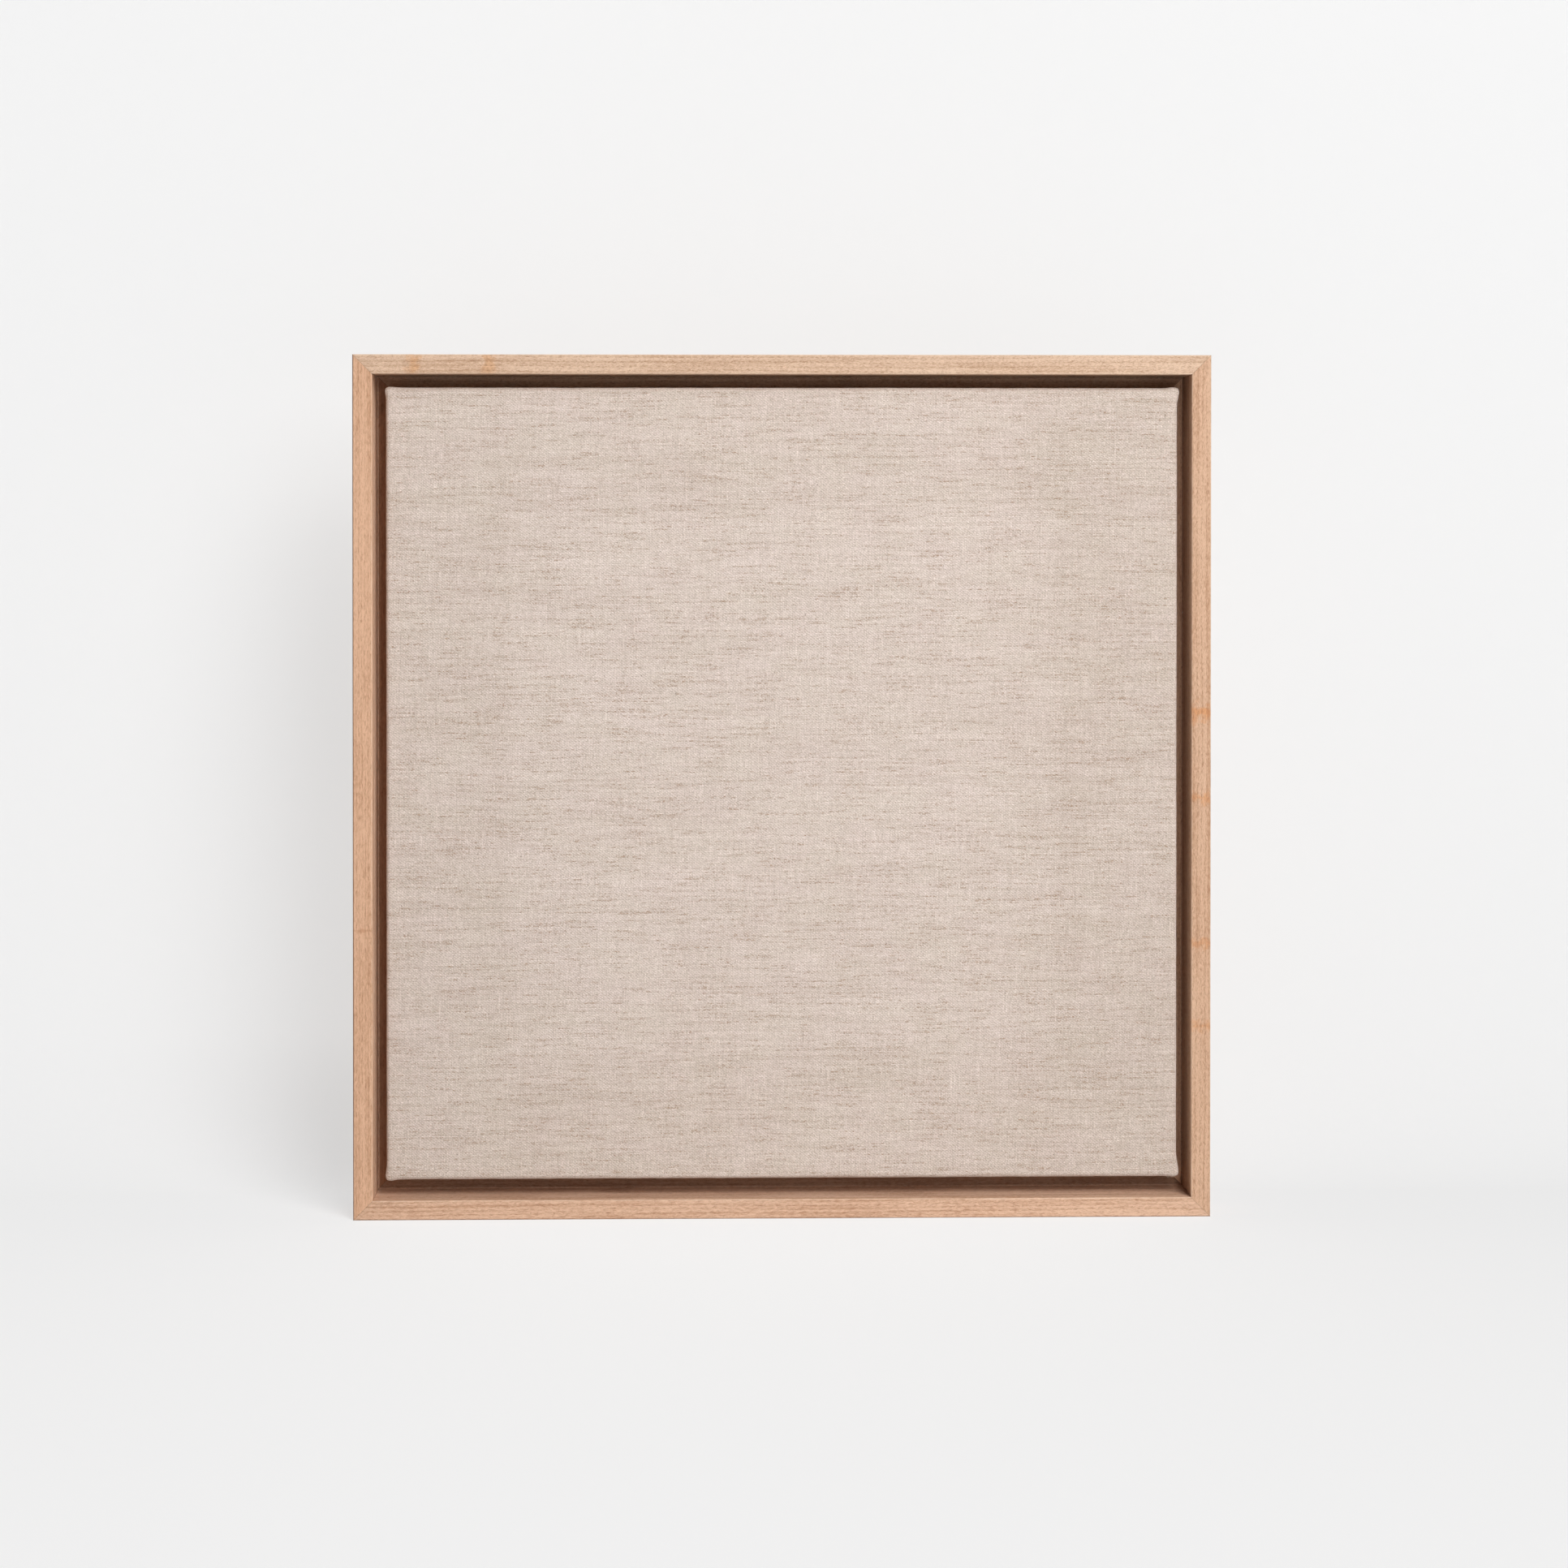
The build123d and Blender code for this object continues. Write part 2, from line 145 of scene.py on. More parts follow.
class Nodes:
    """A material's node tree, with one short call for each kind of node that is used here."""

    def __init__(self, name):
        self.material = bpy.data.materials.new(name)
        self.material.use_nodes = True
        self.tree = self.material.node_tree
        self.tree.nodes.clear()
        self.shader = self.tree.nodes.new("ShaderNodeBsdfPrincipled")
        output = self.tree.nodes.new("ShaderNodeOutputMaterial")
        self.tree.links.new(self.shader.outputs["BSDF"], output.inputs["Surface"])

    def add(self, kind, *values, **settings):
        """A node with these settings, and these values or links on its first sockets."""
        node = self.tree.nodes.new("ShaderNode" + kind)
        for key, value in settings.items():
            setattr(node, key, value)
        for socket, value in zip(node.inputs, values):
            self.put(socket, value)
        return node

    def put(self, socket, value):
        """Links the value to the socket, or sets it there."""
        if isinstance(value, bpy.types.NodeSocket):
            self.tree.links.new(value, socket)
        elif value is not None:
            socket.default_value = value

    def math(self, operation, *values, clamp=False):
        """The result of one Math node."""
        return self.add("Math", *values, operation=operation, use_clamp=clamp).outputs[0]

    def total(self, *values):
        """The sum of several values."""
        result = values[0]
        for value in values[1:]:
            result = self.math("ADD", result, value)
        return result

    def scaled(self, value, factor, plus=0.0):
        """The value times a factor, plus a number."""
        return self.math("MULTIPLY_ADD", value, factor, plus)

    def between(self, value, low, high, out_low=0.0, out_high=1.0):
        """A smooth step: out_low where value is at most low, out_high where it is at least high."""
        node = self.add("MapRange", value, low, high, out_low, out_high)
        node.interpolation_type = "SMOOTHSTEP"
        return node.outputs[0]

    def vector(self, x=0.0, y=0.0, z=0.0):
        """A vector from its three parts."""
        return self.add("CombineXYZ", x, y, z).outputs[0]

    def parts(self, vector):
        """The vector's three parts."""
        return self.add("SeparateXYZ", vector).outputs

    def times(self, vector, factors):
        """The vector with each of its parts multiplied by its own factor."""
        return self.add("VectorMath", vector, factors, operation="MULTIPLY").outputs[0]

    def plus(self, vector, other):
        """The sum of two vectors."""
        return self.add("VectorMath", vector, other, operation="ADD").outputs[0]

    def noise(self, vector, detail=2.0, roughness=0.5, distortion=0.0):
        """Noise whose cells are one unit of the vector."""
        node = self.tree.nodes.new("ShaderNodeTexNoise")
        self.put(node.inputs["Vector"], vector)
        node.inputs["Scale"].default_value = 1.0
        node.inputs["Detail"].default_value = detail
        node.inputs["Roughness"].default_value = roughness
        node.inputs["Distortion"].default_value = distortion
        return node.outputs[0]

    def noise_vector(self, vector, detail=1.0):
        """Three noises as a vector, each from -0.5 to 0.5."""
        node = self.tree.nodes.new("ShaderNodeTexNoise")
        self.put(node.inputs["Vector"], vector)
        node.inputs["Scale"].default_value = 1.0
        node.inputs["Detail"].default_value = detail
        return self.plus(node.outputs[1], (-0.5, -0.5, -0.5))

    def random(self, value):
        """A random number from 0 to 1 for each value."""
        node = self.tree.nodes.new("ShaderNodeTexWhiteNoise")
        node.noise_dimensions = "1D"
        self.put(node.inputs["W"], value)
        return node.outputs[0]

    def blend(self, factor, first, second, kind="MIX"):
        """Two colours blended."""
        node = self.tree.nodes.new("ShaderNodeMix")
        node.data_type = "RGBA"
        node.blend_type = kind
        self.put(node.inputs[0], factor)
        self.put(node.inputs[6], self.colour(first))
        self.put(node.inputs[7], self.colour(second))
        return node.outputs[2]

    @staticmethod
    def colour(value):
        """A colour of three numbers with its alpha added. Anything else stays as it is."""
        return (*value, 1.0) if isinstance(value, tuple) and len(value) == 3 else value

    def brighten(self, colour, factor):
        """The colour times a number."""
        grey = self.vector(factor, factor, factor)
        return self.add("VectorMath", colour, grey, operation="MULTIPLY").outputs[0]

    def place_mm(self):
        """Where the point is in the frame, in mm."""
        node = self.tree.nodes.new("ShaderNodeTexCoord")
        return self.times(node.outputs["Object"], (1000.0, 1000.0, 1000.0))

    def finish(self, colour, roughness, height=None, depth_mm=0.1, **values):
        """Sets the shader's colour, roughness, bump and plain values, and returns the material."""
        self.put(self.shader.inputs["Base Color"], self.colour(colour))
        self.put(self.shader.inputs["Roughness"], roughness)
        if height is not None:
            bump = self.tree.nodes.new("ShaderNodeBump")
            bump.inputs["Distance"].default_value = depth_mm * MM
            self.put(bump.inputs["Height"], height)
            self.put(self.shader.inputs["Normal"], bump.outputs[0])
        for name, value in values.items():
            self.shader.inputs[name.replace("_", " ")].default_value = value
        return self.material


# ---------------------------------------------------------------- woods


def grain_place(g, along, start):
    """Where the point is in a board, in mm: two parts across its grain, then one along it."""
    x, y, z = g.parts(g.place_mm())
    turned = g.vector(z, y, x) if along == "x" else g.vector(x, y, z)
    return g.plus(turned, start)


def growth_rings(g, place, pith, pitch, wander):
    """The wood's rings: a number from 0 at the start of a year to 1 at its end."""
    slow = g.noise(g.times(place, (0.022, 0.022, 0.006)), detail=2)
    drift = g.scaled(slow, wander, -0.5 * wander)
    across, through, _ = g.parts(g.plus(place, (*pith, 0.0)))
    radius = g.math("SQRT", g.total(g.math("POWER", across, 2.0), g.math("POWER", through, 2.0)))
    ripple = g.noise(g.times(place, (0.35, 0.35, 0.03)), detail=2)
    year = g.total(g.scaled(radius, 1 / pitch), drift, g.scaled(ripple, 0.55))
    return g.math("FRACT", year), g.math("FLOOR", year)


def wood(name, along, start, pale, deep, pith, pitch, wander, pore, fleck=0.0, marks=(), face_mm=0.0):
    """Sawn wood. pale and deep are its colours. pore is (length in mm, width in mm, strength).

    marks are bands across the grain on the front face, each (place, half its width, tint, amount).
    """
    g = Nodes(name)
    place = grain_place(g, along, start)
    year, which = growth_rings(g, place, pith, pitch, wander)
    early = g.between(year, 0.0, 0.55, 1.0, 0.0)
    shade = g.random(which)
    length, width, strength = pore
    sway = g.noise_vector(g.times(place, (0.25, 0.25, 0.13)), detail=3)
    bent = g.plus(place, g.times(sway, (2.4, 2.4, 5.0)))
    fibre = g.noise(g.times(bent, (1.7, 1.7, 0.9 / length)), detail=4, roughness=0.7)
    streak = g.noise(g.times(place, (0.42, 0.42, 0.011)), detail=3)
    cloud = g.noise(g.times(place, (0.05, 0.05, 0.012)), detail=2)
    cells = g.times(bent, (1 / width, 1 / width, 1 / length))
    dashes = g.between(g.noise(cells, detail=2.0, roughness=0.7, distortion=0.25), 0.52, 0.64)
    pores = g.math("MULTIPLY", dashes, g.scaled(early, 0.35, 0.65))
    depth = g.total(
        g.scaled(early, 0.30),
        g.scaled(shade, 0.16),
        g.scaled(streak, 1.9, -0.95),
        g.scaled(fibre, 3.0, -1.5),
        g.scaled(cloud, 0.80, -0.37),
    )
    colour = g.blend(g.math("ADD", depth, 0.10, clamp=True), pale, deep)
    if fleck:
        rays = g.noise(g.times(place, (0.9, 0.45, 0.16)), detail=2, roughness=0.55, distortion=0.6)
        shine = g.between(rays, 0.58, 0.74, 0.0, fleck)
        colour = g.blend(shine, colour, tuple(min(1.0, 1.12 * c) for c in pale))
    for centre, half, tint, amount in marks:
        far = g.math("SUBTRACT", g.parts(g.place_mm())[0 if along == "x" else 2], centre)
        ragged = g.scaled(g.noise(g.times(place, (0.3, 0.3, 0.3)), detail=3), 2.6 * half, -1.3 * half)
        band = g.between(g.math("ADD", g.math("ABSOLUTE", far), ragged), 0.0, half, amount, 0.0)
        at_front = g.between(g.parts(g.place_mm())[1], face_mm + 0.4, face_mm + 2.0, 1.0, 0.0)
        band = g.math("MULTIPLY", band, at_front)
        colour = g.blend(band, colour, tint, "MULTIPLY")
    pore_colour = (0.66 * deep[0], 0.50 * deep[1], 0.42 * deep[2])
    colour = g.blend(g.scaled(pores, strength), colour, pore_colour)
    rough = g.total(g.scaled(fibre, 0.18, 0.47), g.scaled(pores, 0.25))
    height = g.total(g.scaled(fibre, 0.25), g.scaled(pores, -0.8))
    return g, colour, rough, height


# ---------------------------------------------------------------- oak rails

RAIL_LOOKS = {
    "top": dict(
        start=(31.0, 7.0, 210.0), pith=(18.0, 46.0), pitch=2.3, wander=2.2,
        pale=(0.80, 0.575, 0.415), deep=(0.56, 0.345, 0.215), pore=(1.5, 0.40, 0.55), fleck=0.35,
    ),
    "bottom": dict(
        start=(113.0, -29.0, 40.0), pith=(26.0, 30.0), pitch=2.0, wander=3.6,
        pale=(0.80, 0.535, 0.375), deep=(0.54, 0.30, 0.18), pore=(2.6, 0.36, 0.45), fleck=0.25,
    ),
    "left": dict(
        start=(-71.0, 13.0, 90.0), pith=(88.0, 12.0), pitch=1.5, wander=1.4,
        pale=(0.81, 0.50, 0.325), deep=(0.56, 0.30, 0.17), pore=(3.2, 0.36, 0.42), fleck=0.20,
    ),
    "right": dict(
        start=(47.0, 53.0, -60.0), pith=(40.0, 52.0), pitch=2.1, wander=3.6,
        pale=(0.75, 0.485, 0.325), deep=(0.52, 0.285, 0.165), pore=(2.0, 0.36, 0.50), fleck=0.35,
    ),
}
# Bands across the grain: how far along the rail, as a share of its length from its left or lower
# end, half its width in mm, its tint and how strong it is
RAIL_MARKS = {
    "top": ((0.07, 5.0, (0.97, 0.80, 0.62), 0.9), (0.157, 5.0, (0.97, 0.81, 0.64), 0.8)),
    "bottom": (),
    "left": ((0.335, 1.6, (0.72, 0.55, 0.46), 0.6),),
    "right": (
        (0.585, 6.5, (1.0, 0.77, 0.56), 1.0),
        (0.487, 4.0, (0.99, 0.79, 0.60), 0.9),
        (0.318, 3.8, (0.99, 0.78, 0.59), 0.8),
        (0.222, 3.8, (0.98, 0.80, 0.63), 0.8),
    ),
}
FACE_WIDTH_MM = 9.8
# How dark the painted line of shade along each rail's outer front edge is. Only the left and bottom rails,
# whose outer edges face away from the lamps, have one
OUTER_EDGE_SHADE = {"top": 0.0, "bottom": 0.50, "left": 0.65, "right": 0.0}
# Tints of each rail's inner wall and of its ledge, fitted to the tones in the photograph. They
# partly stand in for light that these lamps don't give, and a number above 1 lightens the oak
RECESS_SHADE_AND_LIGHT = {
    "top": ((0.72, 0.66, 0.62), (0.80, 0.73, 0.68)),
    "bottom": ((0.92, 0.93, 0.96), (0.58, 0.54, 0.52)),
    "left": ((1.12, 1.28, 1.44), (0.58, 0.48, 0.42)),
    "right": ((0.76, 0.72, 0.70), (1.30, 1.38, 1.42)),
}


def oak_rail(side):
    """Oak of one rail, with an eased pale edge, a thin dark mitre line, its own cross bands, painted shade
    along the outer front edge of the left and bottom rails, and painted shade and light on its inner wall
    and ledge.
    """
    low, high = (corner * 1000.0 for corner in CAD_BOX)
    along = "x" if side in ("top", "bottom") else "z"
    start, end = (low.x, high.x) if along == "x" else (low.z, high.z)
    marks = [(start + share * (end - start), *rest) for share, *rest in RAIL_MARKS[side]]
    g, colour, rough, height = wood(
        "oak_" + side, along, marks=marks, face_mm=low.y, **RAIL_LOOKS[side]
    )
    x, y, z = g.parts(g.place_mm())
    from_side = g.math("SUBTRACT", high.x, g.math("ABSOLUTE", x))
    middle = (low.z + high.z) / 2
    from_end = g.math("SUBTRACT", high.z - middle, g.math("ABSOLUTE", g.math("SUBTRACT", z, middle)))
    off_mitre = g.math("ABSOLUTE", g.math("SUBTRACT", from_side, from_end))
    seam = g.between(off_mitre, 0.05, 0.35, 0.35, 0.0)
    across = from_end if along == "x" else from_side
    from_front = g.math("SUBTRACT", y, low.y)
    inner_edge = g.math("ABSOLUTE", g.math("SUBTRACT", across, FACE_WIDTH_MM))
    outer_edge_shade = OUTER_EDGE_SHADE[side]
    near_edge = inner_edge if outer_edge_shade else g.math("MINIMUM", inner_edge, across)
    worn = g.math(
        "MULTIPLY",
        g.between(near_edge, 0.1, 0.7, 1.0, 0.0),
        g.between(from_front, 0.2, 1.0, 1.0, 0.0),
    )
    patchy = g.noise(g.times(g.place_mm(), (0.25, 0.25, 0.25)), detail=3)
    worn = g.math("MULTIPLY", worn, g.between(patchy, 0.3, 0.65, 0.15, 0.55))
    colour = g.blend(worn, colour, (0.86, 0.66, 0.50))
    # Painted shade: a dark line along the outer front edge of the left and bottom rails
    if outer_edge_shade:
        line = g.math(
            "MULTIPLY",
            g.between(across, 0.2, 0.9, outer_edge_shade, 0.0),
            g.between(from_front, 0.5, 1.5, 1.0, 0.0),
        )
        colour = g.blend(line, colour, (0.22, 0.11, 0.07))
    colour = g.blend(seam, colour, (0.20, 0.10, 0.05))
    past_wall = g.math("SUBTRACT", across, FACE_WIDTH_MM)
    before_ledge_end = g.between(from_front, 25.3, 26.0, 1.0, 0.0)
    on_wall = g.math(
        "MULTIPLY",
        g.between(past_wall, -0.3, 0.0),
        g.between(past_wall, 0.3, 0.9, 1.0, 0.0),
    )
    on_wall = g.math("MULTIPLY", on_wall, g.between(from_front, 0.8, 6.0))
    on_ledge = g.math("MULTIPLY", g.between(past_wall, 0.3, 0.9), before_ledge_end)
    # Painted shade and light in the recess: darker inner walls on the top, bottom and right rails and
    # darker ledges on the top, bottom and left rails, with a lighter left wall and right ledge
    wall_shade_and_light, ledge_shade_and_light = RECESS_SHADE_AND_LIGHT[side]
    colour = g.blend(g.math("MULTIPLY", on_wall, before_ledge_end), colour, wall_shade_and_light, "MULTIPLY")
    colour = g.blend(on_ledge, colour, ledge_shade_and_light, "MULTIPLY")
    height = g.total(height, g.scaled(seam, -1.5))
    return g.finish(colour, rough, height, 0.10, Specular_IOR_Level=0.35)


# ---------------------------------------------------------------- other materials


def pine(side):
    """Pale pine of one stretcher bar."""
    along = "x" if side in ("top", "bottom") else "z"
    offset = 37.0 * SIDES.index(side)
    g, colour, rough, height = wood(
        "pine_" + side, along, (offset, 11.0, 3 * offset), (0.80, 0.62, 0.40), (0.58, 0.34, 0.15),
        (34.0 + offset / 4, 24.0), 3.4, 2.4, (3.0, 0.4, 0.10),
    )
    return g.finish(colour, rough, height, 0.08, Specular_IOR_Level=0.3)


def beech(name, along, number):
    """Close-grained beech of one key. The number gives it its own stretch of grain."""
    g, colour, rough, height = wood(
        name, along, (17.0 * number, 5.0, 23.0 * number), (0.70, 0.47, 0.30), (0.52, 0.29, 0.16),
        (12.0, 30.0), 2.6, 1.2, (1.3, 0.22, 0.55),
    )
    return g.finish(colour, rough, height, 0.05, Specular_IOR_Level=0.3)


def metal(name, colour, rough, brushed=(1.0, 1.0, 1.0), stain=(0.30, 0.24, 0.18), stained=0.25):
    """Plated steel with fine scratches, dull patches and a little tarnish."""
    g = Nodes(name)
    place = g.place_mm()
    scratch = g.noise(g.times(place, tuple(9.0 * b for b in brushed)), detail=4, roughness=0.7)
    patch = g.noise(g.times(place, (0.8, 0.8, 0.8)), detail=3)
    spots = g.between(g.noise(g.times(place, (2.2, 2.2, 2.2)), detail=3), 0.60, 0.75, 0.0, stained)
    tone = g.brighten(g.colour(colour)[:3], g.total(g.scaled(patch, 0.35, 0.70), g.scaled(scratch, 0.25)))
    tone = g.blend(spots, tone, stain)
    roughness = g.total(g.scaled(patch, 0.22, rough - 0.11), g.scaled(scratch, 0.18, -0.09), spots)
    return g.finish(tone, roughness, scratch, 0.012, Metallic=1.0)


def rubber(name):
    """Soft off-white rubber with a little dust."""
    g = Nodes(name)
    place = g.place_mm()
    cloud = g.noise(g.times(place, (0.5, 0.5, 0.5)), detail=2)
    dust = g.between(g.noise(g.times(place, (3.5, 3.5, 3.5)), detail=2), 0.62, 0.74, 0.0, 0.35)
    colour = g.blend(cloud, (0.66, 0.64, 0.59), (0.80, 0.78, 0.73))
    colour = g.blend(dust, colour, (0.42, 0.38, 0.33))
    pits = g.noise(g.times(place, (6.0, 6.0, 6.0)), detail=2)
    rough = g.scaled(cloud, 0.15, 0.48)
    return g.finish(colour, rough, pits, 0.02, Subsurface_Weight=0.2, Subsurface_Scale=0.002)


def linen(name):
    """Unprimed linen in plain weave: uneven threads, darker slubs, specks, broad soft tones and painted
    shade.
    """
    g = Nodes(name)
    uv = g.add("UVMap", uv_map="cloth").outputs[0]
    flat = g.times(uv, (1000.0, 1000.0, 0.0))
    sway = g.times(g.noise_vector(g.times(flat, (0.02, 0.02, 1.0))), (2.2, 2.2, 0.0))
    shake = g.times(g.noise_vector(g.times(flat, (0.45, 0.45, 1.0)), detail=2), (0.75, 0.75, 0.0))
    threads = g.times(g.plus(g.plus(flat, sway), shake), (1 / WARP_PITCH, 1 / WEFT_PITCH, 0.0))
    u, v, _ = g.parts(threads)
    warp, weft = g.math("FLOOR", u), g.math("FLOOR", v)
    # Height: round threads that pass over and under each other in turn
    over = g.math("MULTIPLY", g.math("SINE", g.scaled(u, math.pi)), g.math("SINE", g.scaled(v, math.pi)))
    across_warp = g.math("ABSOLUTE", g.math("SINE", g.scaled(u, math.pi)))
    across_weft = g.math("ABSOLUTE", g.math("SINE", g.scaled(v, math.pi)))
    round_threads = g.math("MINIMUM", across_warp, across_weft)
    weave = g.total(g.scaled(over, 0.5, 0.5), g.scaled(round_threads, 0.5))
    # Thread by thread: a tone of its own, which also changes along it
    x, y, _ = g.parts(flat)
    weft_row = g.vector(g.scaled(x, 0.42), g.scaled(weft, 7.31), 0.0)
    long_row = g.vector(g.scaled(x, 0.045), g.scaled(weft, 3.77), 7.0)
    warp_row = g.vector(g.scaled(warp, 5.17), g.scaled(y, 0.05), 3.0)
    weft_tone = g.noise(weft_row, detail=3, roughness=0.65)
    warp_tone = g.noise(warp_row, detail=3, roughness=0.6)
    streaks = g.noise(g.vector(g.scaled(x, 0.014), g.scaled(weft, 1.9), 21.0), detail=2, roughness=0.6)
    slubby = g.between(g.noise(long_row, detail=1), 0.50, 0.64)
    slub = g.math("MULTIPLY", g.between(weft_tone, 0.46, 0.58), slubby)
    broken = g.between(g.noise(g.times(flat, (1.1, 1.5, 1.0)), detail=2, roughness=0.7), 0.42, 0.56)
    slub = g.math("MULTIPLY", slub, g.scaled(broken, 0.85, 0.15))
    pale_warp = g.between(warp_tone, 0.62, 0.76)
    gaps = g.between(round_threads, 0.0, 0.35, 1.0, 0.0)
    speck = g.between(g.noise(g.times(flat, (0.75, 1.0, 1.0)), detail=2, roughness=0.6), 0.67, 0.73)
    fuzz = g.noise(g.times(flat, (1.1, 1.7, 1.0)), detail=3, roughness=0.8)
    patch = g.noise(g.times(flat, (0.016, 0.022, 1.0)), detail=3, roughness=0.6)
    bands = g.noise(g.times(flat, (0.006, 0.12, 1.0)), detail=3, roughness=0.6)
    # Fitted to the photograph: painted shade darkens the border over the bars a little, and also the
    # left, the right and the bottom
    from_middle = g.math("MAXIMUM", g.math("ABSOLUTE", x), g.math("ABSOLUTE", y))
    value = g.total(
        1.0,
        g.scaled(weave, 0.11, -0.06),
        g.scaled(weft_tone, 0.58, -0.29),
        g.scaled(streaks, 0.26, -0.13),
        g.scaled(warp_tone, 0.24, -0.12),
        g.scaled(fuzz, 1.30, -0.65),
        g.scaled(patch, 0.09, -0.045),
        g.scaled(bands, 0.13, -0.065),
        g.scaled(gaps, -0.15),
        g.scaled(pale_warp, 0.05),
        g.scaled(slub, -0.28),
        g.between(from_middle, 133.0, 143.0, 0.0, -0.035),
        g.between(x, -150.0, -95.0, -0.015, 0.0),
        g.between(x, 80.0, 150.0, 0.0, -0.040),
        g.between(y, -160.0, -40.0, -0.025, 0.0),
    )
    hue = g.noise(g.plus(g.times(flat, (0.03, 0.045, 1.0)), (40.0, 9.0, 0.0)), detail=3, roughness=0.6)
    base = g.blend(g.between(hue, 0.3, 0.7), (0.762, 0.638, 0.572), (0.757, 0.644, 0.565))
    # Darker threads are browner
    warm = g.vector(value, g.scaled(value, 1.12, -0.12), g.scaled(value, 1.30, -0.30))
    colour = g.times(base, warm)
    colour = g.blend(g.scaled(slub, 0.62), colour, (0.46, 0.285, 0.185))
    colour = g.blend(g.scaled(speck, 0.70), colour, (0.24, 0.15, 0.10))
    height = g.total(weave, g.scaled(weft_tone, 0.7), g.scaled(fuzz, 0.5), g.scaled(slub, 0.5))
    return g.finish(
        colour, 0.92, height, 0.16, Specular_IOR_Level=0.2, Sheen_Weight=0.25, Sheen_Roughness=0.6
    )


def paint_frame():
    """Gives every CAD node its material."""
    steel = {
        "staples_": metal("staple_wire", (0.60, 0.60, 0.59), 0.34),
        "canvas_fixing_screws": metal("zinc_steel", (0.70, 0.69, 0.66), 0.30),
        "hanger_screws": metal("zinc_steel_screws", (0.70, 0.69, 0.66), 0.28),
        "frame_v_nails": metal("nail_steel", (0.42, 0.41, 0.41), 0.42, stained=0.45),
        "hanger_strap_": metal("hanger_steel", (0.66, 0.65, 0.62), 0.30, (1.0, 1.0, 0.15)),
        "hanger_ring_": metal("ring_steel", (0.70, 0.69, 0.67), 0.20),
        "wall_bumper_": rubber("bumper_rubber"),
    }
    number = 0
    for node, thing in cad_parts.items():
        if node.startswith("frame_rail_"):
            material = oak_rail(node.split("_")[-1])
        elif node.startswith("stretcher_bar_"):
            material = pine(node.split("_")[-1])
        elif node.startswith("corner_key_"):
            number += 1
            material = beech(f"beech_{number}", "x" if node.endswith("across") else "z", number)
        else:
            material = next((m for start, m in steel.items() if node.startswith(start)), None)
        if material is None:
            continue
        if not thing.data.materials:
            thing.data.materials.append(material)
        for slot in thing.material_slots:
            slot.material = material


# ---------------------------------------------------------------- linen

# Corner ears: how far the folded layers stand out at the side, how far along the side they run,
# and how far they stand out at the top or bottom, all in mm
EARS_MM = {
    (-1, 1): (0.7, 3.0, 0.4),
    (1, 1): (1.2, 4.5, 0.6),
    (-1, -1): (0.8, 3.6, 0.7),
    (1, -1): (1.4, 6.0, 0.4),
}


def ease(value, low, high):
    """A smooth step from 0 at low to 1 at high."""
    t = min(1.0, max(0.0, (value - low) / (high - low)))
    return t * t * (3 - 2 * t)


def wave(x, y, z, size, height):
    """Smooth noise with bumps of about that size and height."""
    return height * noise.noise(Vector((x, y, z)) / size)


